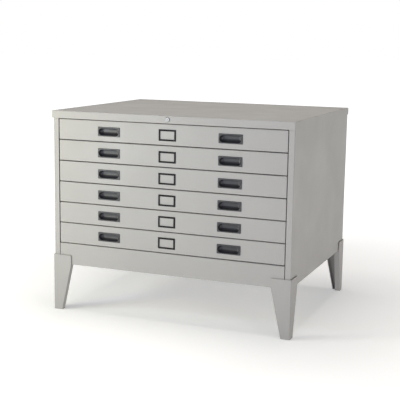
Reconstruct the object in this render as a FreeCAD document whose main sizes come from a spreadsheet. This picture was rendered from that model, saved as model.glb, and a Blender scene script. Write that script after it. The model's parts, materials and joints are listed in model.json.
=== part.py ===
import FreeCAD, Part
import os
import re

import Sketcher
from FreeCAD import Placement, Rotation, Vector

# Flat file cabinet: a folded sheet steel carcass on four tapered legs, with six shallow
# drawers on telescopic runners and one lock that pins all the drawers from behind.
# Millimetres, +Z up, the front faces -Y, and the origin is under the middle of the cabinet.

os.makedirs("parts", exist_ok=True)
doc = FreeCAD.newDocument("flat_file_cabinet")

DRAWERS = 6

SIZES = {
    # carcass
    "body_width": 1000,  # outside of the side panels
    "body_depth": 800,  # stile face to rear face
    "leg_height": 193,  # floor to carcass
    "rail_height": 89.5,  # carcass underside to the lowest gap
    "pitch": 84,  # one drawer to the next
    "lip": 29.5,  # folded edge of the top
    "stile": 22.5,  # front and rear flange of a side panel
    "top_side": 3,  # top beyond the side panels and the back
    "top_front": 10,  # top beyond the stile face
    "gauge": 1.2,  # carcass and drawer sheet
    "bend": 2.5,  # outside radius of a fold
    "gap": 3,  # round a drawer front
    "seam": 2.5,  # rail to stile
    "back_fold": 15,
    "base_fold": 25,
    "rail_fold": 25,
    # legs
    "leg_top": 80,  # width of a leg's flange where it meets the carcass
    "leg_foot": 37,  # width at the floor
    "leg_overlap": 37,  # how far the leg laps up the carcass
    "leg_gauge": 3,
    "leg_bend": 4,
    "leg_stand_off": 1.5,
    "leg_return": 22,  # turned-in edge
    "bolt_near": 30,  # bolt centres from the leg's outer corner
    "bolt_far": 56,
    "bolt_radius": 4,
    "bolt_hole": 4.5,
    "bolt_head": 5.3,
    "bolt_head_radius": 7.5,
    "nut_height": 6.5,
    "bolt_tail": 2,
    # drawer front
    "front_depth": 20,
    "front_return": 14,
    "pull_centre": 38.5,  # above the lower edge of the front
    "pull_offset": 253,  # from the middle
    "pull_width": 96,
    "pull_height": 37,
    "pull_rim": 6,
    "pull_rim_depth": 2,
    "pull_wall": 2,
    "pull_depth": 17,
    "pull_corner": 4,
    "cup_corner": 4,
    "mouth_corner": 9,
    "fit": 0.3,
    "card_centre": 38,
    "card_left": 3.6,  # of the middle
    "card_width": 72,
    "card_height": 44.5,
    "card_border": 6,
    "card_depth": 2.4,
    "card_bevel": 0.8,
    # drawer tray
    "tray_width": 930,
    "tray_depth": 730,
    "tray_height": 62,
    "tray_raise": 6,
    # runners, each a channel nested in the next
    "runner_start": 25,
    "runner_length": 700,
    "runner_centre": 37,
    "inner_reach": 8.5,
    "inner_height": 30,
    "middle_start": 2.5,
    "middle_reach": 9.5,
    "middle_height": 36,
    "outer_start": 4,
    "outer_reach": 11,
    "outer_height": 42,
    "upright_width": 30,
    "upright_front": 40,
    "upright_spacing": 620,
    "upright_clear": 3,
    # lock
    "bezel_radius": 10,
    "bezel_depth": 3,
    "bezel_edge": 1,
    "lock_radius": 8,
    "lock_behind": 25,
    "barrel_radius": 6,
    "barrel_recess": 0.5,
    "key_slot_width": 2,
    "key_slot_height": 8,
    "key_slot_depth": 5,
    "rod_radius": 4,
    "rod_bracket_width": 30,
    "rod_bracket_depth": 3,
    "rod_bracket_front": 100,
    "rod_bracket_spacing": 620,
    "crank_radius": 12,
    "crank_depth": 3,
    "crank_throw": 9,
    "crank_pin_radius": 2.5,
    "crank_pin_length": 11,
    "crank_behind": 24,  # crank to rear face
    # gang bar, behind the drawers
    "bar_left": 18,
    "bar_width": 30,
    "bar_gauge": 2,
    "bar_behind": 14,  # bar to rear face
    "bar_foot": 288.5,
    "bar_head": 800.6,
    "slot_width": 9,
    "slot_left": 12.2,
    "slot_clearance": 0.55,
    "arm_width": 12,
    "arm_level": 28,
    "arm_length": 18,
    "peg_width": 6,
    "peg_height": 18,
    "guide_level": 65,
    "guide_height": 15,
    "guide_wall": 3,
    "tab_width": 40,
    "tab_level": 50,
    "tab_length": 32,
    "tab_gauge": 2,
    "tab_hole_start": 16,
    "tab_hole_width": 16,
    "tab_hole_depth": 10,
}

sheet = doc.addObject("Spreadsheet::Sheet", "Sizes")
for row, (alias, size) in enumerate(SIZES.items(), 1):
    sheet.set(f"A{row}", alias)
    sheet.set(f"B{row}", str(size))
    sheet.setAlias(f"B{row}", alias)
doc.recompute()

# Places that follow from the driving sizes.
FRONT = "((top_front + bezel_depth - leg_gauge - leg_stand_off - body_depth) / 2)"
BACK = f"({FRONT} + body_depth)"
MIDDLE = f"({FRONT} + body_depth / 2)"
LIP_FOOT = f"(leg_height + rail_height + {DRAWERS} * pitch)"
LOCK_LEVEL = f"({LIP_FOOT} + lip / 2)"
UNDER_TOP = f"({LIP_FOOT} + lip - gauge)"
SHEET_INSIDE = "(body_width / 2 - gauge)"
OPENING = "(body_width / 2 - stile)"
LEG_PROUD = "(leg_gauge + leg_stand_off)"

DIRECTIONS = {
    "left": Vector(-1, 0, 0),
    "right": Vector(1, 0, 0),
    "front": Vector(0, -1, 0),
    "back": Vector(0, 1, 0),
    "bottom": Vector(0, 0, -1),
    "top": Vector(0, 0, 1),
}

sub_parts = []


def formula(text):
    """Point each size named in an expression at its cell in the sheet."""
    return re.sub(r"[a-z_]+", lambda word: f"Sizes.{word[0]}" if word[0] in SIZES else word[0], text)


def bind(item, name, text):
    item.setExpression(name, formula(text))


def new_body(label, place=("0", "0", "0"), turn=0):
    """Start a sub-part: a body with its own label and placement."""
    body = doc.addObject("PartDesign::Body", label)
    body.Label = label
    body.AllowCompound = True
    body.Placement = Placement(Vector(), Rotation(Vector(0, 0, 1), turn))
    for axis, text in zip("xyz", place):
        bind(body, f"Placement.Base.{axis}", text)
    sub_parts.append(body)
    return body


def origin_feature(body, role):
    return next(item for item in body.Origin.OriginFeatures if item.Role == role)


def new_sketch(body, name, plane, offset):
    sketch = body.newObject("Sketcher::SketchObject", name)
    sketch.AttachmentSupport = (origin_feature(body, plane), [""])
    sketch.MapMode = "FlatFace"
    bind(sketch, "AttachmentOffset.Base.z", offset)
    return sketch


def dimension(sketch, name, constraint, text):
    index = sketch.addConstraint(constraint)
    sketch.renameConstraint(index, name)
    bind(sketch, f"Constraints.{name}", text)


def draw_outline(sketch, corners, level, left, low, width, height):
    """Join the corners, hold the listed sides level or upright, and place the outline."""
    count = len(corners)
    for side in range(count):
        sketch.addGeometry(Part.LineSegment(corners[side], corners[(side + 1) % count]), False)
    for side in range(count):
        sketch.addConstraint(Sketcher.Constraint("Coincident", side, 2, (side + 1) % count, 1))
    for side, kind in enumerate(level):
        sketch.addConstraint(Sketcher.Constraint(kind, side))
    dimension(sketch, "left", Sketcher.Constraint("DistanceX", -1, 1, 0, 1, 1.0), left)
    dimension(sketch, "low", Sketcher.Constraint("DistanceY", -1, 1, 0, 1, 1.0), low)
    dimension(sketch, "width", Sketcher.Constraint("DistanceX", 0, 1, 0, 2, 1.0), width)
    dimension(sketch, "height", Sketcher.Constraint("DistanceY", 1, 1, 1, 2, 1.0), height)


def rectangle(sketch, left, low, width, height):
    """Draw a rectangle held by its lower left corner, width and height."""
    corners = [Vector(1, 1, 0), Vector(2, 1, 0), Vector(2, 2, 0), Vector(1, 2, 0)]
    level = ["Horizontal", "Vertical", "Horizontal", "Vertical"]
    draw_outline(sketch, corners, level, left, low, width, height)


def right_triangle(sketch, left, low, width, height):
    """Draw a triangle with a level foot and an upright right-hand side."""
    corners = [Vector(1, 1, 0), Vector(2, 1, 0), Vector(2, 2, 0)]
    draw_outline(sketch, corners, ["Horizontal", "Vertical"], left, low, width, height)


def circle(sketch, across, up, radius):
    """Draw a circle held by its centre and radius."""
    index = sketch.addGeometry(Part.Circle(Vector(1, 1, 0), Vector(0, 0, 1), 1.0), False)
    dimension(sketch, "across", Sketcher.Constraint("DistanceX", -1, 1, index, 3, 1.0), across)
    dimension(sketch, "up", Sketcher.Constraint("DistanceY", -1, 1, index, 3, 1.0), up)
    dimension(sketch, "radius", Sketcher.Constraint("Radius", index, 1.0), radius)


def grow(body, name, sketch, length, away=False):
    pad = body.newObject("PartDesign::Pad", name)
    pad.Profile = sketch
    pad.Reversed = away
    bind(pad, "Length", length)
    body.recompute(True)
    return pad


def carve(body, name, sketch, length, away=False):
    """Cut a sketch through the body and make sure that the cut takes something away."""
    before = body.Shape.Volume
    pocket = body.newObject("PartDesign::Pocket", name)
    pocket.Profile = sketch
    pocket.Reversed = away
    bind(pocket, "Length", length)
    body.recompute(True)
    if body.Shape.Volume > before - 1e-3:
        raise ValueError(f"{body.Label}: {name} cuts nothing")
    return pocket


def block_sketch(body, name, low, size):
    sketch = new_sketch(body, f"{name}Outline", "XY_Plane", low[2])
    rectangle(sketch, low[0], low[1], size[0], size[1])
    return sketch


def add_block(body, name, low, size):
    """Add an upright block, given its lowest corner and its width, depth and height."""
    return grow(body, name, block_sketch(body, name, low, size), size[2])


def cut_block(body, name, low, size):
    return carve(body, name, block_sketch(body, name, low, size), size[2], away=True)


def round_sketch(body, name, centre, radius, start):
    """Sketch a circle that faces along Y, with its middle at (x, z), where Y is start."""
    sketch = new_sketch(body, f"{name}Outline", "XZ_Plane", f"-({start})")
    circle(sketch, centre[0], centre[1], radius)
    return sketch


def add_round(body, name, centre, radius, start, length):
    """Add a cylinder that runs back from start along Y."""
    sketch = round_sketch(body, name, centre, radius, start)
    return grow(body, name, sketch, length, away=True)


def cut_round(body, name, centre, radius, start, length):
    """Cut a round hole that runs back from start along Y."""
    return carve(body, name, round_sketch(body, name, centre, radius, start), length)


def upright_round_sketch(body, name, centre, radius, start):
    sketch = new_sketch(body, f"{name}Outline", "XY_Plane", start)
    circle(sketch, centre[0], centre[1], radius)
    return sketch


def side_faces(shape, sides):
    """Number the flat faces that look towards the named sides."""
    numbers = []
    for number, face in enumerate(shape.Faces, 1):
        flat = isinstance(face.Surface, Part.Plane)
        if flat and any(face.normalAt(0, 0).isEqual(DIRECTIONS[side], 1e-6) for side in sides):
            numbers.append(number)
    return numbers


def round_edges(body, name, base, radius, wanted):
    """Fillet each edge of the base that wanted(edge) picks."""
    names = [f"Edge{number}" for number, edge in enumerate(base.Shape.Edges, 1) if wanted(edge)]
    fillet = body.newObject("PartDesign::Fillet", name)
    fillet.Base = (base, names)
    bind(fillet, "Radius", radius)
    body.recompute(True)
    return fillet


def hollow(body, base, open_sides, gauge):
    """Turn a solid into sheet of one gauge, open at the named sides."""
    wall = body.newObject("PartDesign::Thickness", "Wall")
    wall.Base = (base, [f"Face{number}" for number in side_faces(base.Shape, open_sides)])
    wall.Reversed = True
    bind(wall, "Value", gauge)
    body.recompute(True)
    return wall


def fold_sheet(body, low, size, open_sides):
    """Fold sheet round a block, leaving the named sides open, with a radius at each fold."""
    block = add_block(body, "Block", low, size)
    open_faces = [block.Shape.Faces[number - 1] for number in side_faces(block.Shape, open_sides)]
    cut_edges = [edge for face in open_faces for edge in face.Edges]
    folds = round_edges(
        body, "Folds", block, "bend",
        lambda edge: not any(edge.isSame(cut) for cut in cut_edges),
    )
    return hollow(body, folds, open_sides, "gauge")


def folded_panel(label, low, size, open_sides):
    """A carcass panel folded from one sheet."""
    body = new_body(label)
    fold_sheet(body, low, size, open_sides)
    return body


def repeat(body, name, axis, length, count):
    """Repeat everything in the body so far along one axis."""
    row = body.newObject("PartDesign::LinearPattern", name)
    row.TransformMode = "Whole shape"
    row.Direction = (origin_feature(body, axis), [""])
    row.Occurrences = count
    bind(row, "Length", length)
    body.Tip = row
    body.recompute(True)


def mirror(body, name, plane):
    """Mirror everything in the body so far in one of its own planes."""
    twin = body.newObject("PartDesign::Mirrored", name)
    twin.TransformMode = "Whole shape"
    twin.MirrorPlane = (origin_feature(body, plane), [""])
    body.Tip = twin
    body.recompute(True)


# ---- carcass ----


def make_top_panel():
    body = folded_panel(
        "top_panel",
        ("-body_width / 2 - top_side", f"{FRONT} - top_front", LIP_FOOT),
        ("body_width + 2 * top_side", "body_depth + top_front + top_side", "lip"),
        ["bottom"],
    )
    cut_round(body, "LockHole", ("0", LOCK_LEVEL), "lock_radius + fit", f"{FRONT} - top_front", "bend")


def make_side_panels():
    size = ("stile", "body_depth", f"{UNDER_TOP} - leg_height")
    left_corner = ("-body_width / 2", FRONT, "leg_height")
    right_corner = (OPENING, FRONT, "leg_height")
    folded_panel("left_side_panel", left_corner, size, ["right", "top", "bottom"])
    folded_panel("right_side_panel", right_corner, size, ["left", "top", "bottom"])


def make_back_panel():
    folded_panel(
        "back_panel",
        (f"-{OPENING} + seam / 2", f"{BACK} - back_fold", "leg_height"),
        (f"2 * {OPENING} - seam", "back_fold", f"{UNDER_TOP} - leg_height"),
        ["front"],
    )


def bolt_centres():
    """The two bolts of a leg, measured from the leg's outer corner."""
    return (("bolt_near", "bolt_far"), ("bolt_far", "bolt_near"))


def make_base_panel():
    """The base is placed by its middle so that its bolt holes mirror in both directions."""
    body = new_body("base_panel", ("0", MIDDLE, "leg_height"))
    width = f"(2 * {SHEET_INSIDE})"
    depth = "(body_depth - 2 * back_fold)"
    fold_sheet(body, (f"-{width} / 2", f"-{depth} / 2", "0"), (width, depth, "base_fold"), ["top"])
    for number, (across, along) in enumerate(bolt_centres()):
        for side in (-1, 1):
            for end in (-1, 1):
                centre = (
                    f"{side} * (body_width / 2 + {LEG_PROUD} - {across})",
                    f"{end} * (body_depth / 2 + {LEG_PROUD} - {along})",
                )
                name = f"BoltHole{number}{side + 1}{end + 1}"
                sketch = upright_round_sketch(body, name, centre, "bolt_hole", "0")
                carve(body, name, sketch, "gauge", away=True)


def make_bottom_rail():
    folded_panel(
        "bottom_rail",
        (f"-{OPENING} + seam", FRONT, "leg_height"),
        (f"2 * ({OPENING} - seam)", "rail_fold", "rail_height - gap"),
        ["back", "bottom", "left", "right"],
    )


def make_top_rail():
    body = folded_panel(
        "top_rail",
        (f"-{OPENING} + seam / 2", FRONT, LIP_FOOT),
        (f"2 * {OPENING} - seam", "rail_fold", f"{UNDER_TOP} - {LIP_FOOT}"),
        ["back"],
    )
    cut_round(body, "LockHole", ("0", LOCK_LEVEL), "lock_radius + fit", FRONT, "bend")


# ---- legs ----


def add_taper(body):
    """A square block with its two inner sides sloped below the carcass, down to the floor."""
    add_block(body, "Blank", ("0", "0", "0"), ("leg_top", "leg_top", "leg_height + leg_overlap"))
    for name, plane in (("SlopeX", "XZ_Plane"), ("SlopeY", "YZ_Plane")):
        sketch = new_sketch(body, f"{name}Outline", plane, "0")
        right_triangle(sketch, "leg_foot", "0", "leg_top - leg_foot", "leg_height")
        taper = carve(body, name, sketch, "leg_top", away=plane == "YZ_Plane")
    return taper


def make_leg(label, place, turn):
    """A leg is drawn with its outer corner at its origin and its flanges along +X and +Y."""
    body = new_body(label, place, turn)
    taper = add_taper(body)
    corner = round_edges(
        body, "Corner", taper, "leg_bend",
        lambda edge: edge.CenterOfMass.x < 1e-6 and edge.CenterOfMass.y < 1e-6,
    )
    hollow(body, corner, ["top"], "leg_gauge")
    beyond = "(leg_top - leg_gauge)"
    cut_block(body, "Lap", ("leg_gauge", "leg_gauge", "leg_height"), (beyond, beyond, "leg_overlap"))
    reach = "(leg_top - leg_return)"
    cut_block(body, "Inside", ("leg_return", "leg_return", "0"), (reach, reach, "leg_height"))
    inside = "(leg_top - 2 * leg_gauge)"
    gusset_corner = ("leg_gauge", "leg_gauge", "leg_height - leg_gauge")
    add_block(body, "Gusset", gusset_corner, (inside, inside, "leg_gauge"))
    for number, centre in enumerate(bolt_centres()):
        name = f"BoltHole{number}"
        sketch = upright_round_sketch(body, name, centre, "bolt_hole", "leg_height - leg_gauge")
        carve(body, name, sketch, "leg_gauge", away=True)


def make_legs():
    """Each leg is the same pressing, turned a further quarter round the cabinet."""
    left = f"-body_width / 2 - {LEG_PROUD}"
    right = f"body_width / 2 + {LEG_PROUD}"
    front = f"{FRONT} - {LEG_PROUD}"
    back = f"{BACK} + {LEG_PROUD}"
    make_leg("front_left_leg", (left, front, "0"), 0)
    make_leg("front_right_leg", (right, front, "0"), 90)
    make_leg("rear_right_leg", (right, back, "0"), 180)
    make_leg("rear_left_leg", (left, back, "0"), 270)


def corner_bolt_centres():
    """Bolt centres of the front left leg, measured from the middle of the carcass."""
    for across, along in bolt_centres():
        yield (
            f"-body_width / 2 - {LEG_PROUD} + {across}",
            f"-body_depth / 2 - {LEG_PROUD} + {along}",
        )


def add_hexagon(body, name, centre, start, radius, height):
    prism = body.newObject("PartDesign::AdditivePrism", name)
    prism.Polygon = 6
    bind(prism, "Circumradius", radius)
    bind(prism, "Height", height)
    prism.AttachmentSupport = (origin_feature(body, "XY_Plane"), [""])
    prism.MapMode = "FlatFace"
    for axis, text in zip("xyz", (*centre, start)):
        bind(prism, f"AttachmentOffset.Base.{axis}", text)
    body.recompute(True)


def mirror_to_all_legs(body):
    mirror(body, "OtherSide", "YZ_Plane")
    mirror(body, "OtherEnd", "XZ_Plane")


def make_leg_bolts():
    body = new_body("leg_bolts", ("0", MIDDLE, "leg_height - leg_gauge"))
    shank = "leg_gauge + gauge + nut_height + bolt_tail"
    for number, centre in enumerate(corner_bolt_centres()):
        add_hexagon(body, f"Head{number}", centre, "-bolt_head", "bolt_head_radius", "bolt_head")
        sketch = upright_round_sketch(body, f"Shank{number}", centre, "bolt_radius", "0")
        grow(body, f"Shank{number}", sketch, shank)
    mirror_to_all_legs(body)


def make_leg_nuts():
    body = new_body("leg_nuts", ("0", MIDDLE, "leg_height + gauge"))
    for number, centre in enumerate(corner_bolt_centres()):
        add_hexagon(body, f"Nut{number}", centre, "0", "bolt_head_radius", "nut_height")
        sketch = upright_round_sketch(body, f"Bore{number}", centre, "bolt_radius", "0")
        carve(body, f"Bore{number}", sketch, "nut_height", away=True)
    mirror_to_all_legs(body)


# ---- runners ----


def make_uprights():
    """Four channels inside the side panels carry the outer runners."""
    body = new_body("runner_uprights", ("0", FRONT, "leg_height + base_fold + upright_clear"))
    web = "(tray_width / 2 + outer_start + outer_reach)"
    fold_sheet(
        body,
        (web, "upright_front", "0"),
        (
            f"{SHEET_INSIDE} - {web}",
            "upright_width",
            f"{LIP_FOOT} - leg_height - base_fold - 2 * upright_clear",
        ),
        ["right", "top", "bottom"],
    )
    repeat(body, "Rear", "Y_Axis", "upright_spacing", 2)
    mirror(body, "OtherSide", "YZ_Plane")


def fold_runner(body, kind, start, open_side):
    """Fold one channel beside the tray; the pair is mirrored."""
    fold_sheet(
        body,
        (f"tray_width / 2 + {start}", "runner_start", f"runner_centre - {kind}_height / 2"),
        (f"{kind}_reach", "runner_length", f"{kind}_height"),
        [open_side, "front", "back"],
    )


def make_outer_runners():
    """The fixed runners of all the drawers, from the lowest drawer up."""
    body = new_body("outer_runners", drawer_place(DRAWERS))
    fold_runner(body, "outer", "outer_start", "left")
    mirror(body, "OtherSide", "YZ_Plane")
    repeat(body, "Levels", "Z_Axis", f"pitch * {DRAWERS - 1}", DRAWERS)


def make_middle_runners(number):
    body = new_body(f"drawer_{number}_middle_runners", drawer_place(number))
    fold_runner(body, "middle", "middle_start", "left")
    mirror(body, "OtherSide", "YZ_Plane")


def make_inner_runners(number):
    body = new_body(f"drawer_{number}_inner_runners", drawer_place(number))
    fold_runner(body, "inner", "0", "right")
    mirror(body, "OtherSide", "YZ_Plane")


# ---- drawers: drawn from the middle of the lower edge of the front's face ----


def drawer_place(number):
    """Drawer 1 is the top one."""
    return ("0", FRONT, f"{LIP_FOOT} - {number} * pitch")


def make_drawer_front(number):
    """A box-edged front, open behind except for a turned-in edge."""
    body = new_body(f"drawer_{number}_front", drawer_place(number))
    width = f"(2 * ({OPENING} - gap))"
    height = "(pitch - gap)"
    fold_sheet(body, (f"-{width} / 2", "0", "0"), (width, "front_depth", height), ["back"])
    add_block(
        body, "Return",
        (f"-{width} / 2 + gauge / 2", "front_depth - gauge", "gauge / 2"),
        (f"{width} - gauge", "gauge", f"{height} - gauge"),
    )
    cut_block(
        body, "Window",
        (f"-{width} / 2 + front_return", "front_depth - gauge", "front_return"),
        (f"{width} - 2 * front_return", "gauge", f"{height} - 2 * front_return"),
    )
    cup_width = "(pull_width - 2 * pull_rim + 2 * pull_wall + 2 * fit)"
    cup_height = "(pull_height - 2 * pull_rim + 2 * pull_wall + 2 * fit)"
    for side, name in ((-1, "LeftCutOut"), (1, "RightCutOut")):
        cut_block(
            body, name,
            (f"{side} * pull_offset - {cup_width} / 2", "0", f"pull_centre - {cup_height} / 2"),
            (cup_width, "gauge", cup_height),
        )


def make_tray(number):
    """The tray has a tab on its rear wall, with a hole for the gang bar's peg."""
    body = new_body(f"drawer_{number}_tray", drawer_place(number))
    fold_sheet(
        body,
        ("-tray_width / 2", "front_depth", "tray_raise"),
        ("tray_width", "tray_depth", "tray_height"),
        ["top"],
    )
    rear = "(front_depth + tray_depth)"
    add_block(
        body, "LockTab",
        ("-tab_width / 2", f"{rear} - gauge / 2", "tab_level"),
        ("tab_width", "tab_length + gauge / 2", "tab_gauge"),
    )
    cut_block(
        body, "PegHole",
        ("-tab_hole_width / 2", f"{rear} + tab_hole_start", "tab_level"),
        ("tab_hole_width", "tab_hole_depth", "tab_gauge"),
    )


def runs_back(edge):
    """Whether a straight edge runs along Y."""
    line = isinstance(edge.Curve, Part.Line)
    return line and abs(abs(edge.tangentAt(edge.FirstParameter).y) - 1) < 1e-6


def make_pulls(number):
    """A pair of recessed pulls: a rim on the face of the front and a cup behind it."""
    place = drawer_place(number)
    body = new_body(f"drawer_{number}_pulls", ("-pull_offset", place[1], f"{place[2]} + pull_centre"))
    rim = add_block(
        body, "Rim",
        ("-pull_width / 2", "-pull_rim_depth", "-pull_height / 2"),
        ("pull_width", "pull_rim_depth", "pull_height"),
    )
    round_edges(body, "RimCorners", rim, "pull_corner", runs_back)
    mouth_width = "(pull_width - 2 * pull_rim)"
    mouth_height = "(pull_height - 2 * pull_rim)"
    cup = add_block(
        body, "Cup",
        (f"-{mouth_width} / 2 - pull_wall", "0", f"-{mouth_height} / 2 - pull_wall"),
        (f"{mouth_width} + 2 * pull_wall", "pull_depth", f"{mouth_height} + 2 * pull_wall"),
    )
    cup = round_edges(
        body, "CupCorners", cup, "cup_corner",
        lambda edge: runs_back(edge) and edge.CenterOfMass.y > 2,
    )
    mouth = cut_block(
        body, "Mouth",
        (f"-{mouth_width} / 2", "-pull_rim_depth", f"-{mouth_height} / 2"),
        (mouth_width, "pull_rim_depth + pull_depth - pull_wall", mouth_height),
    )
    half = SIZES["pull_width"] / 2 - SIZES["pull_rim"]
    round_edges(
        body, "MouthCorners", mouth, "mouth_corner",
        lambda edge: runs_back(edge) and abs(abs(edge.CenterOfMass.x) - half) < 1e-6,
    )
    repeat(body, "Pair", "X_Axis", "2 * pull_offset", 2)


def make_card_holder(number):
    place = drawer_place(number)
    body = new_body(f"drawer_{number}_card_holder", ("-card_left", place[1], f"{place[2]} + card_centre"))
    plate = add_block(
        body, "Plate",
        ("-card_width / 2", "-card_depth", "-card_height / 2"),
        ("card_width", "card_depth", "card_height"),
    )
    edge_chamfer = body.newObject("PartDesign::Chamfer", "Bevel")
    edge_chamfer.Base = (plate, [f"Face{face}" for face in side_faces(plate.Shape, ["front"])])
    bind(edge_chamfer, "Size", "card_bevel")
    body.recompute(True)
    cut_block(
        body, "Window",
        ("-card_width / 2 + card_border", "-card_depth", "-card_height / 2 + card_border"),
        ("card_width - 2 * card_border", "card_depth", "card_height - 2 * card_border"),
    )


def make_drawer(number):
    make_drawer_front(number)
    make_tray(number)
    make_pulls(number)
    make_card_holder(number)
    make_inner_runners(number)
    make_middle_runners(number)


# ---- lock: drawn from the lock's axis at the stile face ----

LOCK_PLACE = ("0", FRONT, LOCK_LEVEL)
AXIS = ("0", "0")
BEZEL_FACE = "(-top_front - bezel_depth)"
CRANK_START = "(body_depth - crank_behind)"


def make_lock_housing():
    body = new_body("lock_housing", LOCK_PLACE)
    bezel = add_round(body, "Bezel", AXIS, "bezel_radius", BEZEL_FACE, "bezel_depth")
    round_edges(
        body, "BezelEdge", bezel, "bezel_edge",
        lambda edge: edge.CenterOfMass.y < -SIZES["top_front"] - SIZES["bezel_depth"] / 2
        and isinstance(edge.Curve, Part.Circle),
    )
    add_round(body, "Sleeve", AXIS, "lock_radius", "-top_front", "lock_behind")
    cut_round(body, "Bore", AXIS, "barrel_radius + fit", BEZEL_FACE, "bezel_depth + lock_behind")


def make_lock_barrel():
    body = new_body("lock_barrel", LOCK_PLACE)
    face = f"({BEZEL_FACE} + barrel_recess)"
    add_round(body, "Barrel", AXIS, "barrel_radius", face, "bezel_depth + lock_behind")
    cut_block(
        body, "KeySlot",
        ("-key_slot_width / 2", face, "-key_slot_height / 2"),
        ("key_slot_width", "key_slot_depth", "key_slot_height"),
    )


def make_lock_rod():
    """The rod turns with the barrel; the pin on its crank lifts the gang bar."""
    body = new_body("lock_rod", LOCK_PLACE)
    start = f"({BEZEL_FACE} + barrel_recess + bezel_depth + lock_behind)"
    add_round(body, "Rod", AXIS, "rod_radius", start, f"{CRANK_START} - {start}")
    add_round(body, "Crank", AXIS, "crank_radius", CRANK_START, "crank_depth")
    pin = ("-crank_throw / sqrt(2)", "-crank_throw / sqrt(2)")
    add_round(body, "Pin", pin, "crank_pin_radius", f"{CRANK_START} + crank_depth", "crank_pin_length")


def make_rod_brackets():
    """Two hangers under the top carry the rod."""
    body = new_body("lock_rod_brackets", ("0", f"{FRONT} + rod_bracket_front", LOCK_LEVEL))
    add_block(
        body, "Hanger",
        ("-rod_bracket_width / 2", "0", "-lip / 2"),
        ("rod_bracket_width", "rod_bracket_depth", "lip - gauge"),
    )
    cut_round(body, "Bearing", AXIS, "rod_radius + fit", "0", "rod_bracket_depth")
    repeat(body, "Rear", "Y_Axis", "rod_bracket_spacing", 2)


def make_gang_bar():
    """A flat bar with one arm and peg for each drawer, lifted by the crank pin in its slot."""
    body = new_body("gang_bar", ("0", f"{BACK} - bar_behind", "0"))
    lowest = f"({LIP_FOOT} - {DRAWERS} * pitch)"
    arm_foot = f"({lowest} + arm_level)"
    add_block(
        body, "Arm",
        ("-arm_width / 2", "-arm_length", arm_foot),
        ("arm_width", "arm_length", "bar_gauge"),
    )
    add_block(
        body, "Peg",
        ("-peg_width / 2", "-arm_length", f"{arm_foot} + bar_gauge"),
        ("peg_width", "peg_width", "peg_height"),
    )
    repeat(body, "Levels", "Z_Axis", f"pitch * {DRAWERS - 1}", DRAWERS)
    add_block(
        body, "Bar",
        ("-bar_left", "0", "bar_foot"),
        ("bar_width", "bar_gauge", "bar_head - bar_foot"),
    )
    slot_half = "(crank_pin_radius + slot_clearance)"
    cut_block(
        body, "Slot",
        ("-slot_left", "0", f"{LOCK_LEVEL} - crank_throw / sqrt(2) - {slot_half}"),
        ("slot_width", "bar_gauge", f"2 * {slot_half}"),
    )


def make_bar_guides():
    """Slotted blocks on the back panel that the gang bar slides in."""
    level = f"({LIP_FOOT} - {DRAWERS - 1} * pitch + guide_level)"
    body = new_body("gang_bar_guides", ("0", f"{BACK} - bar_behind", level))
    add_block(
        body, "Guide",
        ("-bar_left - guide_wall", "-guide_wall", "0"),
        ("bar_width + 2 * guide_wall", "guide_wall + bar_behind - gauge", "guide_height"),
    )
    cut_block(
        body, "Channel",
        ("-bar_left - fit", "-fit", "0"),
        ("bar_width + 2 * fit", "bar_gauge + 2 * fit", "guide_height"),
    )
    repeat(body, "Levels", "Z_Axis", "4 * pitch", 3)


def check_model():
    """Stop if a feature failed or a sub-part has no sound shape."""
    failed = [item.Name for item in doc.Objects if {"Invalid", "Error"} & set(item.State)]
    unsound = [body.Label for body in sub_parts if body.Shape.isNull() or not body.Shape.isValid()]
    if failed or unsound:
        raise RuntimeError(f"failed: {failed}, unsound: {unsound}")


def build():
    make_top_panel()
    make_side_panels()
    make_back_panel()
    make_base_panel()
    make_bottom_rail()
    make_top_rail()
    make_legs()
    make_leg_bolts()
    make_leg_nuts()
    make_uprights()
    make_outer_runners()
    for number in range(1, DRAWERS + 1):
        make_drawer(number)
    make_lock_housing()
    make_lock_barrel()
    make_lock_rod()
    make_rod_brackets()
    make_gang_bar()
    make_bar_guides()
    doc.recompute()


build()
check_model()
for sub_part in sub_parts:
    sub_part.Shape.exportStep(f"parts/{sub_part.Label}.step")
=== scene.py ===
import json
import math

import bmesh
import bpy
from mathutils import Matrix, Vector


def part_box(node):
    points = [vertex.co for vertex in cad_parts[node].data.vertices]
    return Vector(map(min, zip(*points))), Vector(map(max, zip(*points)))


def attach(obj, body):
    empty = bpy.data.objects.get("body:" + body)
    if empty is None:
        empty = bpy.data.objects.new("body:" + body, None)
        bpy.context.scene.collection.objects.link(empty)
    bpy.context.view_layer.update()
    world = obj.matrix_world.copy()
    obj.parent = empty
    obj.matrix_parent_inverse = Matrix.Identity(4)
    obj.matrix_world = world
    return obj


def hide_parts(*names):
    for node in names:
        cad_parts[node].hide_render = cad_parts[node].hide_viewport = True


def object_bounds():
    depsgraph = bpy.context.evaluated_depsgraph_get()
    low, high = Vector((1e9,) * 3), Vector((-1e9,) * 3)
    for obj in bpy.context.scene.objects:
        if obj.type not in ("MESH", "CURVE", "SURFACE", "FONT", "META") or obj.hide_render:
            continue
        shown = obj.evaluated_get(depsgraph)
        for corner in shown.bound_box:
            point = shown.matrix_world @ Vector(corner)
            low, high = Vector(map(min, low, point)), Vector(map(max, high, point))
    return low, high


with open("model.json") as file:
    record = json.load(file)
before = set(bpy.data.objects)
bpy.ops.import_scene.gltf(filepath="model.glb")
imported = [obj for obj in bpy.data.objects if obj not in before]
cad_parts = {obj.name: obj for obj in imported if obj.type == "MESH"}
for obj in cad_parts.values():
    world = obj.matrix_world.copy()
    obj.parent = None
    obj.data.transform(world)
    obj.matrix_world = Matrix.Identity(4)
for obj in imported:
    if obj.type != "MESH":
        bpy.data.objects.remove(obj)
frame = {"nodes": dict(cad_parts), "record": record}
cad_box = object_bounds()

# Flat file cabinet: six shallow steel drawers under a folded top, on four tapered legs.
# Metres, +Z up, the front faces -Y.

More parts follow.
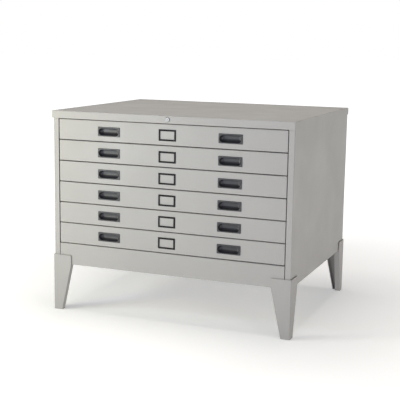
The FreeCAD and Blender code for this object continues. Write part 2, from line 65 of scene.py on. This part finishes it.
MM = 0.001
DRAWERS = 6
NODES = frame["nodes"]
SLOT_OF_NODE = {part["node"]: part["material_slot"] for part in frame["record"]["subparts"]}


# ---------------------------------------------------------------- node trees

SHADE_SAMPLES = 4  # of the edge and crevice nodes


def new_material(name):
    """A material, its node tree and the tree's Principled shader."""
    material = bpy.data.materials.new(name)
    material.use_nodes = True
    tree = material.node_tree
    return material, tree, tree.nodes["Principled BSDF"]


def node(tree, kind, **settings):
    """A new node of a kind, with its own properties set."""
    made = tree.nodes.new(kind)
    for key, value in settings.items():
        setattr(made, key, value)
    return made


def place(tree):
    """The surface's own coordinates in metres, which move with the piece."""
    return node(tree, "ShaderNodeTexCoord").outputs["Object"]


def noise(tree, scale, detail=3.0, roughness=0.5, stretch=None):
    """Noise of a scale per metre, drawn out along the axes whose stretch is small."""
    made = node(tree, "ShaderNodeTexNoise")
    made.inputs["Scale"].default_value = scale
    made.inputs["Detail"].default_value = detail
    made.inputs["Roughness"].default_value = roughness
    where = place(tree)
    if stretch:
        mapping = node(tree, "ShaderNodeMapping")
        mapping.inputs["Scale"].default_value = stretch
        tree.links.new(where, mapping.inputs["Vector"])
        where = mapping.outputs["Vector"]
    tree.links.new(where, made.inputs["Vector"])
    return made.outputs["Fac"]


def remap(tree, value, low, high, to_low, to_high):
    """Carry a value from one range to another, held at both ends."""
    made = node(tree, "ShaderNodeMapRange")
    ends = {"From Min": low, "From Max": high, "To Min": to_low, "To Max": to_high}
    for socket, number in ends.items():
        made.inputs[socket].default_value = number
    tree.links.new(value, made.inputs["Value"])
    return made.outputs["Result"]


def mix(tree, factor, first, second):
    """Blend two colours; each may be a socket or a plain colour."""
    made = node(tree, "ShaderNodeMix", data_type="RGBA")
    sockets = [s for s in made.inputs if s.type == "RGBA"]
    for socket, value in zip(sockets, (first, second)):
        if isinstance(value, bpy.types.NodeSocket):
            tree.links.new(value, socket)
        else:
            socket.default_value = (*value, 1)
    tree.links.new(factor, made.inputs["Factor"])
    return next(s for s in made.outputs if s.type == "RGBA")


def multiply(tree, first, second):
    """The product of two values; each may be a socket or a number."""
    made = node(tree, "ShaderNodeMath", operation="MULTIPLY")
    for socket, value in zip(made.inputs, (first, second)):
        if isinstance(value, bpy.types.NodeSocket):
            tree.links.new(value, socket)
        else:
            socket.default_value = value
    return made.outputs[0]


def edges(tree, radius):
    """Near 1 on an edge or in a fold and 0 on a flat, from how far a rounded normal leans."""
    rounded = node(tree, "ShaderNodeBevel", samples=SHADE_SAMPLES)
    rounded.inputs["Radius"].default_value = radius
    flat = node(tree, "ShaderNodeNewGeometry").outputs["True Normal"]
    dot = node(tree, "ShaderNodeVectorMath", operation="DOT_PRODUCT")
    tree.links.new(rounded.outputs["Normal"], dot.inputs[0])
    tree.links.new(flat, dot.inputs[1])
    return remap(tree, dot.outputs["Value"], 0.98, 0.75, 0.0, 1.0)


def crevices(tree, reach):
    """1 in a corner or gap, 0 in the open, from ambient occlusion; the materials use it to paint shade.
    """
    open_sky = node(tree, "ShaderNodeAmbientOcclusion", samples=SHADE_SAMPLES)
    open_sky.inputs["Distance"].default_value = reach
    return remap(tree, open_sky.outputs["AO"], 0.75, 0.2, 0.0, 1.0)


def bump(tree, shader, heights):
    """Chain bumps, each (height socket, distance in metres, strength), into the shader's normal."""
    normal = None
    for height, distance, strength in heights:
        made = node(tree, "ShaderNodeBump")
        made.inputs["Distance"].default_value = distance
        made.inputs["Strength"].default_value = strength
        tree.links.new(height, made.inputs["Height"])
        if normal:
            tree.links.new(normal, made.inputs["Normal"])
        normal = made.outputs["Normal"]
    tree.links.new(normal, shader.inputs["Normal"])


# ---------------------------------------------------------------- materials


PAINT = (0.392, 0.382, 0.366)
# paler colour of the edges: wear and a painted highlight
PAINT_EDGE_WEAR_AND_HIGHLIGHT = (0.55, 0.54, 0.52)
# colour of the painted shade in folds and gaps
PAINT_CREVICE_SHADE = (0.13, 0.125, 0.115)


def shade(colour, factor):
    """A colour made darker by a factor."""
    return tuple(part * factor for part in colour)


def powder_coat(name, roughness):
    """Baked powder paint on sheet steel: orange peel, broad tone drift, edges lighter from wear and a
    painted highlight, painted shade in folds and gaps.
    """
    material, tree, shader = new_material(name)
    drift = remap(tree, noise(tree, 2.2, 2.0), 0.35, 0.65, 0.0, 1.0)
    tone = mix(tree, drift, shade(PAINT, 0.955), PAINT)
    speck = remap(tree, noise(tree, 900.0, 1.0), 0.3, 0.7, 0.0, 0.10)
    tone = mix(tree, speck, tone, shade(PAINT, 0.8))
    patchy = remap(tree, noise(tree, 24.0, 4.0, 0.65), 0.42, 0.62, 0.1, 1.0)
    # edges lightened, patchy: wear and a painted highlight
    edge_mask = multiply(tree, multiply(tree, edges(tree, 0.8 * MM), patchy), 0.35)
    tone = mix(tree, edge_mask, tone, PAINT_EDGE_WEAR_AND_HIGHLIGHT)
    # painted shade: folds and gaps darkened by ambient occlusion, patchy
    crevice_shade = multiply(tree, multiply(tree, crevices(tree, 10 * MM), patchy), 0.30)
    tone = mix(tree, crevice_shade, tone, PAINT_CREVICE_SHADE)
    tree.links.new(tone, shader.inputs["Base Color"])
    smear = remap(tree, noise(tree, 7.0, 3.0, 0.6), 0.3, 0.7, roughness - 0.05, roughness + 0.07)
    tree.links.new(smear, shader.inputs["Roughness"])
    shader.inputs["Specular IOR Level"].default_value = 0.42
    peel = noise(tree, 520.0, 1.5, 0.4)
    waver = noise(tree, 9.0, 1.0)
    bump(tree, shader, [(peel, 0.06 * MM, 0.5), (waver, 0.8 * MM, 0.25)])
    return material


def moulded_plastic(name, colour, edge_highlight, roughness):
    """Moulded ABS with a fine spark-eroded grain and edges lightened as a painted highlight."""
    material, tree, shader = new_material(name)
    drift = remap(tree, noise(tree, 60.0, 3.0), 0.3, 0.7, 0.0, 1.0)
    tone = mix(tree, drift, shade(colour, 0.85), colour)
    # painted highlight: every edge and fillet lightened
    edge_mask = multiply(tree, edges(tree, 0.7 * MM), 0.55)
    tone = mix(tree, edge_mask, tone, edge_highlight)
    tree.links.new(tone, shader.inputs["Base Color"])
    smear = remap(tree, noise(tree, 90.0, 4.0, 0.7), 0.3, 0.7, roughness - 0.06, roughness + 0.10)
    tree.links.new(smear, shader.inputs["Roughness"])
    grain = noise(tree, 2200.0, 1.0)
    bump(tree, shader, [(grain, 0.03 * MM, 0.5)])
    return material


def black_enamel(name):
    """Stove enamel on the pressed card frames, worn to grey on its edges."""
    material, tree, shader = new_material(name)
    drift = remap(tree, noise(tree, 45.0, 3.0), 0.3, 0.7, 0.0, 1.0)
    tone = mix(tree, drift, (0.006, 0.006, 0.006), (0.010, 0.010, 0.010))
    patchy = remap(tree, noise(tree, 140.0, 3.0), 0.4, 0.6, 0.0, 1.0)
    edge_mask = multiply(tree, multiply(tree, edges(tree, 0.4 * MM), patchy), 0.35)
    tone = mix(tree, edge_mask, tone, (0.06, 0.06, 0.06))
    tree.links.new(tone, shader.inputs["Base Color"])
    shader.inputs["Specular IOR Level"].default_value = 0.2
    smear = remap(tree, noise(tree, 110.0, 3.0), 0.3, 0.7, 0.42, 0.58)
    tree.links.new(smear, shader.inputs["Roughness"])
    bump(tree, shader, [(noise(tree, 700.0, 1.0), 0.04 * MM, 0.4)])
    return material


def zinc_plate(name, colour, roughness, spangle):
    """Zinc plated steel: crystal spangle in tone and gloss, drawing lines, dull patches."""
    material, tree, shader = new_material(name)
    cells = node(tree, "ShaderNodeTexVoronoi")
    cells.inputs["Scale"].default_value = spangle
    tree.links.new(place(tree), cells.inputs["Vector"])
    grey = node(tree, "ShaderNodeRGBToBW")
    tree.links.new(cells.outputs["Color"], grey.inputs["Color"])
    facet = remap(tree, grey.outputs["Val"], 0.1, 0.9, 0.0, 1.0)
    tone = mix(tree, facet, shade(colour, 0.86), colour)
    dull = remap(tree, noise(tree, 14.0, 4.0, 0.6), 0.5, 0.75, 0.0, 0.5)
    tone = mix(tree, dull, tone, (0.36, 0.36, 0.35))
    tree.links.new(tone, shader.inputs["Base Color"])
    shader.inputs["Metallic"].default_value = 0.92
    gloss = remap(tree, grey.outputs["Val"], 0.0, 1.0, roughness - 0.07, roughness + 0.09)
    tree.links.new(gloss, shader.inputs["Roughness"])
    lines = noise(tree, 260.0, 2.0, 0.5, stretch=(1.0, 0.04, 1.0))
    bump(tree, shader, [(lines, 0.03 * MM, 0.35)])
    return material


def chrome(name):
    """Satin nickel with hairline polishing marks, finger haze and painted shade in its corners."""
    material, tree, shader = new_material(name)
    haze = remap(tree, noise(tree, 120.0, 4.0, 0.6), 0.35, 0.7, 0.0, 1.0)
    tone = mix(tree, haze, (0.34, 0.34, 0.34), (0.26, 0.26, 0.26))
    # painted shade: corners and the bore darkened by ambient occlusion
    corner_shade = multiply(tree, crevices(tree, 1.5 * MM), 0.8)
    tone = mix(tree, corner_shade, tone, (0.05, 0.05, 0.05))
    tree.links.new(tone, shader.inputs["Base Color"])
    shader.inputs["Metallic"].default_value = 1.0
    gloss = remap(tree, haze, 0.0, 1.0, 0.34, 0.48)
    tree.links.new(gloss, shader.inputs["Roughness"])
    marks = noise(tree, 1800.0, 1.0, 0.5, stretch=(1.0, 1.0, 0.1))
    bump(tree, shader, [(marks, 0.01 * MM, 0.3)])
    return material


def nylon(name):
    """Off-white moulded nylon, a little waxy."""
    material, tree, shader = new_material(name)
    drift = remap(tree, noise(tree, 50.0, 3.0), 0.3, 0.7, 0.0, 1.0)
    tone = mix(tree, drift, (0.62, 0.60, 0.54), (0.74, 0.72, 0.66))
    tree.links.new(tone, shader.inputs["Base Color"])
    smear = remap(tree, noise(tree, 80.0, 3.0), 0.3, 0.7, 0.40, 0.52)
    tree.links.new(smear, shader.inputs["Roughness"])
    shader.inputs["Subsurface Weight"].default_value = 0.15
    shader.inputs["Subsurface Radius"].default_value = (1.0, 1.0, 1.0)
    shader.inputs["Subsurface Scale"].default_value = 2 * MM
    bump(tree, shader, [(noise(tree, 900.0, 1.0), 0.03 * MM, 0.4)])
    return material


MATERIALS = {  # by material slot
    "carcass_paint": powder_coat("carcass_powder_coat", 0.42),
    "leg_paint": powder_coat("leg_powder_coat", 0.45),
    "front_paint": powder_coat("front_powder_coat", 0.40),
    "tray_paint": powder_coat("tray_powder_coat", 0.50),
    "pull_plastic": moulded_plastic("pull_plastic", (0.034, 0.034, 0.039), (0.11, 0.11, 0.12), 0.34),
    "card_frame_black": black_enamel("card_frame_enamel"),
    "zinc_sheet": zinc_plate("zinc_sheet", (0.62, 0.63, 0.64), 0.36, 160.0),
    "zinc_fasteners": zinc_plate("zinc_fasteners", (0.60, 0.60, 0.58), 0.30, 700.0),
    "lock_chrome": chrome("lock_chrome"),
    "guide_nylon": nylon("guide_nylon"),
}


def dress_cad_nodes():
    """Give each CAD node its slot's material."""
    for name, item in NODES.items():
        item.data.materials.clear()
        item.data.materials.append(MATERIALS[SLOT_OF_NODE[name]])


# ---------------------------------------------------------------- light, floor, camera


FLOOR_HALF = 40.0  # half the width of the floor


def soft_box(name, spot, target, size, power, colour):
    """A square lamp at a spot, aimed at a target; size in metres, power in watts."""
    data = bpy.data.lights.new(name, "AREA")
    data.size = size
    data.energy = power
    data.color = colour
    item = bpy.data.objects.new(name, data)
    bpy.context.scene.collection.objects.link(item)
    item.location = spot
    item.rotation_euler = (Vector(target) - item.location).to_track_quat("-Z", "Y").to_euler()


def room_light():
    """White walls round the horizon, dimmer to the right, under a darker ceiling."""
    world = bpy.data.worlds.new("studio")
    bpy.context.scene.world = world
    world.use_nodes = True
    tree = world.node_tree
    split = node(tree, "ShaderNodeSeparateXYZ")
    tree.links.new(node(tree, "ShaderNodeTexCoord").outputs["Generated"], split.inputs["Vector"])
    rightward = remap(tree, split.outputs["X"], 0.0, 0.6, 0.0, 1.0)
    wall = mix(tree, rightward, (1.0, 1.0, 1.0), (0.80, 0.77, 0.73))
    height = remap(tree, split.outputs["Z"], 0.10, 0.30, 0.0, 1.0)
    tone = mix(tree, height, wall, (0.20, 0.20, 0.20))
    tree.links.new(tone, tree.nodes["Background"].inputs["Color"])


def studio():
    """Three keys by the front left corner, a cool window, a warm fill, a ceiling lamp and a floor."""
    room_light()
    low, high = cad_box
    left = (-0.3, low.y, 0.5)
    middle = (0, low.y, 0.5)
    right = (0.5, 0, 0.5)
    soft_box("key", (-2.0, -1.6, 1.4), left, 0.6, 17.5, (0.88, 0.94, 1.0))
    soft_box("low_key", (-1.2, -2.4, 0.5), left, 0.6, 10.5, (0.85, 0.94, 1.0))
    soft_box("warm_key", (-1.4, -1.6, 0.8), left, 0.4, 6.0, (1.0, 0.88, 0.35))
    soft_box("fill", (2.4, -2.0, 1.0), right, 0.8, 7.0, (1.0, 0.97, 0.85))
    soft_box("window", (0.6, -3.5, 1.0), middle, 1.5, 6.5, (0.05, 0.15, 1.0))
    soft_box("ceiling", (0, 0, 3.2), (0, 0, high.z), 1.5, 46.0, (1.0, 0.95, 0.89))

    mesh = bmesh.new()
    bmesh.ops.create_grid(mesh, x_segments=1, y_segments=1, size=FLOOR_HALF)
    floor = finish_mesh("floor", mesh, floor_paint())
    floor.location = (0, (low.y + high.y) / 2, low.z)


def floor_paint():
    """Pale seamless paper that glows more away from the cabinet and less to the right."""
    material, tree, shader = new_material("studio_floor")
    tone = mix(tree, noise(tree, 1.5, 2.0), (0.90, 0.90, 0.90), (0.93, 0.93, 0.93))
    tree.links.new(tone, shader.inputs["Base Color"])
    shader.inputs["Roughness"].default_value = 0.9
    shader.inputs["Emission Color"].default_value = (1, 1, 1, 1)
    reach = node(tree, "ShaderNodeVectorMath", operation="LENGTH")
    tree.links.new(place(tree), reach.inputs[0])
    glow = remap(tree, reach.outputs["Value"], 0.9, 2.8, 0.28, 0.95)
    split = node(tree, "ShaderNodeSeparateXYZ")
    tree.links.new(place(tree), split.inputs["Vector"])
    rightward = remap(tree, split.outputs["X"], 0.6, 2.5, 1.0, 0.65)
    tree.links.new(multiply(tree, glow, rightward), shader.inputs["Emission Strength"])
    return material


CAMERA_AZIMUTH = math.radians(21.99)
CAMERA_ELEVATION = math.radians(9.79)
CAMERA_ROLL = math.radians(0.83)
CAMERA_DISTANCE = 3.984
CAMERA_AIM = Vector((-0.0086, -0.0424, 0.0285))  # from the middle of the cabinet
CAMERA_REACH = 200.0
CAMERA_LENS = 85.44


def camera():
    """A long lens from the front right and a little above, rolled about its own axis."""
    low, high = cad_box
    flat = math.cos(CAMERA_ELEVATION)
    forward = Vector(
        (-math.sin(CAMERA_AZIMUTH) * flat, math.cos(CAMERA_AZIMUTH) * flat, -math.sin(CAMERA_ELEVATION))
    )
    level = Vector((math.cos(CAMERA_AZIMUTH), math.sin(CAMERA_AZIMUTH), 0))
    upright = level.cross(forward)
    right = level * math.cos(CAMERA_ROLL) + upright * math.sin(CAMERA_ROLL)
    up = upright * math.cos(CAMERA_ROLL) - level * math.sin(CAMERA_ROLL)
    data = bpy.data.cameras.new("camera")
    data.sensor_width = 36
    data.lens = CAMERA_LENS
    data.clip_end = CAMERA_REACH
    item = bpy.data.objects.new("camera", data)
    bpy.context.scene.collection.objects.link(item)
    turn = Matrix((right, up, -forward)).transposed().to_4x4()
    spot = (low + high) / 2 + CAMERA_AIM - forward * CAMERA_DISTANCE
    item.matrix_world = Matrix.Translation(spot) @ turn
    bpy.context.scene.camera = item


# ---------------------------------------------------------------- mesh pieces


CORNER_STEPS = 8
TURNED_STEPS = 72
SHARP_ANGLE = math.radians(35)


def finish_mesh(name, mesh, material, body=None):
    """Turn a bmesh into an object that rides on a CAD body, smooth but for its hard edges."""
    bmesh.ops.recalc_face_normals(mesh, faces=mesh.faces)
    for face in mesh.faces:
        face.smooth = True
    for edge in mesh.edges:
        if edge.is_manifold and edge.calc_face_angle() > SHARP_ANGLE:
            edge.smooth = False
    data = bpy.data.meshes.new(name)
    mesh.to_mesh(data)
    mesh.free()
    data.materials.append(material)
    item = bpy.data.objects.new(name, data)
    bpy.context.scene.collection.objects.link(item)
    if body:
        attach(item, body)
    return item


def rounded_ring(mesh, centre, half_width, half_height, corner, depth, lift=0.0):
    """A loop of vertices round a rounded rectangle in the XZ plane, anticlockwise from the front."""
    ring = []
    for quarter, (side, level) in enumerate(((1, 1), (-1, 1), (-1, -1), (1, -1))):
        middle_x = side * (half_width - corner)
        middle_z = level * (half_height - corner) + lift
        middle = centre + Vector((middle_x, depth, middle_z))
        for step in range(CORNER_STEPS + 1):
            angle = math.radians(90) * (quarter + step / CORNER_STEPS)
            spoke = Vector((math.cos(angle), 0, math.sin(angle)))
            ring.append(mesh.verts.new(middle + corner * spoke))
    return ring


def loft(mesh, rings, closed=False):
    """Quads between rings; closed joins the last to the first, else both ends are capped."""
    pairs = list(zip(rings, rings[1:]))
    if closed:
        pairs.append((rings[-1], rings[0]))
    for lower, upper in pairs:
        for i in range(len(lower)):
            j = (i + 1) % len(lower)
            mesh.faces.new((lower[i], lower[j], upper[j], upper[i]))
    if not closed:
        mesh.faces.new(rings[0])
        mesh.faces.new(rings[-1])


def quarter_arc(start, end, hollow, steps=6):
    """Points of a quarter ellipse from start to end; hollow picks the side it bows to."""
    start, end = Vector(start), Vector(end)
    points = []
    for step in range(steps + 1):
        angle = math.radians(90) * step / steps
        share = Vector((1 - math.cos(angle), math.sin(angle)))
        if not hollow:
            share = Vector((math.sin(angle), 1 - math.cos(angle)))
        points.append(start + (end - start) * share)
    return points


PULL_WIDTH = 96 * MM
PULL_PROUD = 2 * MM
PULL_CORNER = 3 * MM
PULL_EDGE = 1.2 * MM  # rounding at the rim's outside
PULL_SEAT = 0.3 * MM  # straight side between that rounding and the drawer front
PULL_WALL = 2 * MM
MOUTH_TOP = 6 * MM  # the rim's width above, below and beside the cup
MOUTH_BOTTOM = 4.5 * MM
MOUTH_END = 4.5 * MM
MOUTH_LIP = 1.5 * MM  # rounding from the rim into the cup
HOLLOW_TOP = 4 * MM  # the cup's curves from its mouth to its floor
HOLLOW_BOTTOM = 13 * MM
HOLLOW_END = 15 * MM
FLOOR_CORNER = 2 * MM
CUP_STEPS = 12
NEARLY_ROUND = 0.999  # of half the height, so that a ring's ends keep a short straight side


def mouth_ring(mesh, centre, tall, grow, run, depth):
    """A ring of the cup: the mouth, widened by grow and drawn in by run, which is 1 at the floor."""
    top = tall - MOUTH_TOP + grow - HOLLOW_TOP * run
    bottom = tall - MOUTH_BOTTOM + grow - HOLLOW_BOTTOM * run
    half_height = (top + bottom) / 2
    half_width = PULL_WIDTH / 2 - MOUTH_END + grow - HOLLOW_END * run
    corner = (half_height + (FLOOR_CORNER - half_height) * run * run) * NEARLY_ROUND
    return rounded_ring(mesh, centre, half_width, half_height, corner, depth, (top - bottom) / 2)


def cup_rings(mesh, centre, tall, start, end, grow):
    """Rings from a cup's mouth to its floor, in a quarter ellipse."""
    rings = []
    for step in range(CUP_STEPS + 1):
        angle = math.radians(90) * step / CUP_STEPS
        run, deep = 1 - math.cos(angle), start + (end - start) * math.sin(angle)
        rings.append(mouth_ring(mesh, centre, tall, grow, run, deep))
    return rings


def rim_rings(mesh, centre, tall):
    """Rings from the cup's mouth over its lip, across the rim and round it to the drawer front."""
    rings = []
    lip = quarter_arc((MOUTH_LIP, -PULL_PROUD), (0, MOUTH_LIP - PULL_PROUD), False)
    for grow, depth in lip[-2::-1]:
        rings.append(mouth_ring(mesh, centre, tall, grow, 0, depth))
    edge = quarter_arc((0, -PULL_SEAT), (PULL_EDGE, -PULL_PROUD), True)
    for inset, depth in edge[::-1] + [(0, 0)]:
        corner = PULL_CORNER - inset
        rings.append(rounded_ring(mesh, centre, PULL_WIDTH / 2 - inset, tall - inset, corner, depth))
    return rings


def make_pulls():
    """Two recessed pulls on each drawer: a flat rim round a cup that curves in from below."""
    for k in range(1, DRAWERS + 1):
        name = f"drawer_{k}_pulls"
        low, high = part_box(name)
        face = low.y + PULL_PROUD
        depth = high.y - face
        tall = (high.z - low.z) / 2
        for word, middle in (("left", low.x + PULL_WIDTH / 2), ("right", high.x - PULL_WIDTH / 2)):
            mesh = bmesh.new()
            centre = Vector((middle, face, (low.z + high.z) / 2))
            rings = cup_rings(mesh, centre, tall, MOUTH_LIP - PULL_PROUD, depth - PULL_WALL, 0)[::-1]
            rings += rim_rings(mesh, centre, tall)
            rings += cup_rings(mesh, centre, tall, 0, depth, PULL_WALL)
            loft(mesh, rings)
            title, slot = f"drawer_{k}_{word}_pull", "pull_plastic"
            piece = finish_mesh(title, mesh, MATERIALS[slot], f"drawer_{k}")
            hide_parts(name)


CARD_CORNER = 2 * MM
CARD_BORDER = 6.8 * MM
CARD_SHEET = 0.9 * MM


def card_sections(depth):
    """(inset, depth, corner radius) round a pressed frame's section, raised along its middle."""
    inner = CARD_BORDER
    foot = CARD_BORDER * 0.16
    return [
        (0, 0, CARD_CORNER),
        (0.1 * MM, -0.45 * depth, CARD_CORNER),
        (foot, -0.92 * depth, CARD_CORNER * 0.9),
        (foot * 1.9, -depth, CARD_CORNER * 0.8),
        (inner - foot * 1.6, -depth, CARD_CORNER * 0.5),
        (inner - foot * 0.5, -0.94 * depth, CARD_CORNER * 0.4),
        (inner, -0.78 * depth, CARD_CORNER * 0.3),
        (inner, -0.78 * depth + CARD_SHEET, CARD_CORNER * 0.3),
        (inner - foot, -0.9 * depth + CARD_SHEET, CARD_CORNER * 0.4),
        (foot * 2.2, -depth + CARD_SHEET, CARD_CORNER * 0.7),
        (foot * 1.4, -0.4 * depth, CARD_CORNER * 0.8),
        (foot * 1.3, 0, CARD_CORNER * 0.8),
    ]


def make_card_holders():
    """A pressed frame on each drawer, open to the card behind it."""
    for k in range(1, DRAWERS + 1):
        name = f"drawer_{k}_card_holder"
        low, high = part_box(name)
        mesh = bmesh.new()
        centre = Vector(((low.x + high.x) / 2, high.y, (low.z + high.z) / 2))
        wide, tall = (high.x - low.x) / 2, (high.z - low.z) / 2
        rings = [
            rounded_ring(mesh, centre, wide - inset, tall - inset, corner, deep)
            for inset, deep, corner in card_sections(high.y - low.y)
        ]
        loft(mesh, rings, closed=True)
        title, slot = f"drawer_{k}_card_frame", "card_frame_black"
        piece = finish_mesh(title, mesh, MATERIALS[slot], f"drawer_{k}")
        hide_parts(name)


def turned(mesh, centre, profile):
    """Revolve a closed profile of (radius, depth) points about the Y axis through a centre."""
    rings = []
    for radius, depth in profile:
        ring = []
        for step in range(TURNED_STEPS):
            angle = math.tau * step / TURNED_STEPS
            spoke = Vector((radius * math.cos(angle), depth, radius * math.sin(angle)))
            ring.append(mesh.verts.new(centre + spoke))
        rings.append(ring)
    loft(mesh, rings, closed=True)


BEZEL_RADIUS = 10 * MM
BEZEL_PROUD = 3 * MM
BEZEL_DOME = 2.2 * MM
BEZEL_SIDE = 0.5 * MM  # straight side between the dome and the lip
BARREL_RADIUS = 6 * MM
BORE_GAP = 0.15 * MM
BORE_MOUTH = ((0, 0.5 * MM), (0.35 * MM, 0.12 * MM), (0.8 * MM, 0))  # (wider, deeper) round its edge
BODY_RADIUS = 8 * MM
THREAD_PITCH = 1 * MM
THREAD_DEPTH = 0.45 * MM
BODY_CHAMFER = 0.5 * MM


def make_lock_housing():
    """A cam lock's sleeve: a domed bezel, a bore for the barrel and a threaded body behind."""
    low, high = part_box("lock_housing")
    face = low.y + BEZEL_PROUD
    centre = Vector(((low.x + high.x) / 2, face, (low.z + high.z) / 2))
    length = high.y - face
    bore = BARREL_RADIUS + BORE_GAP
    crown = (BEZEL_RADIUS - BEZEL_DOME, -BEZEL_PROUD)
    profile = [(bore, length)]
    profile += [(bore + wider, deeper - BEZEL_PROUD) for wider, deeper in BORE_MOUTH]
    profile += quarter_arc((BEZEL_RADIUS, -BEZEL_SIDE), crown, True, 7)[::-1]
    profile += [(BEZEL_RADIUS, 0), (BODY_RADIUS, 0)]
    for turn in range(int((length - 2 * MM) / THREAD_PITCH)):
        crest, root = (turn + 0.9) * THREAD_PITCH, (turn + 1.4) * THREAD_PITCH
        profile += [(BODY_RADIUS, crest), (BODY_RADIUS - THREAD_DEPTH, root)]
    profile += [(BODY_RADIUS, length - 0.6 * MM), (BODY_RADIUS - BODY_CHAMFER, length)]
    mesh = bmesh.new()
    turned(mesh, centre, profile)
    slot = "lock_chrome"
    piece = finish_mesh("lock_bezel", mesh, MATERIALS[slot], "carcass")
    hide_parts("lock_housing")


WELD_REACH = 0.01 * MM
BROKEN_EDGE = 0.3 * MM
BROKEN_ANGLE = math.radians(50)


def soften_sheet_edges():
    """Break the cut edges of the folded sheet, as paint and deburring leave them."""
    for item in NODES.values():
        if item.hide_render:
            continue
        weld = item.modifiers.new("shared_corners", "WELD")
        weld.merge_threshold = WELD_REACH
        bevel = item.modifiers.new("broken_edges", "BEVEL")
        bevel.width = BROKEN_EDGE
        bevel.segments = 2
        bevel.limit_method = "ANGLE"
        bevel.angle_limit = BROKEN_ANGLE
        bevel.harden_normals = True
        bevel.use_clamp_overlap = True


make_pulls()
make_card_holders()
make_lock_housing()
soften_sheet_edges()
dress_cad_nodes()
studio()
camera()

scene = bpy.context.scene
scene.view_settings.view_transform = "Standard"
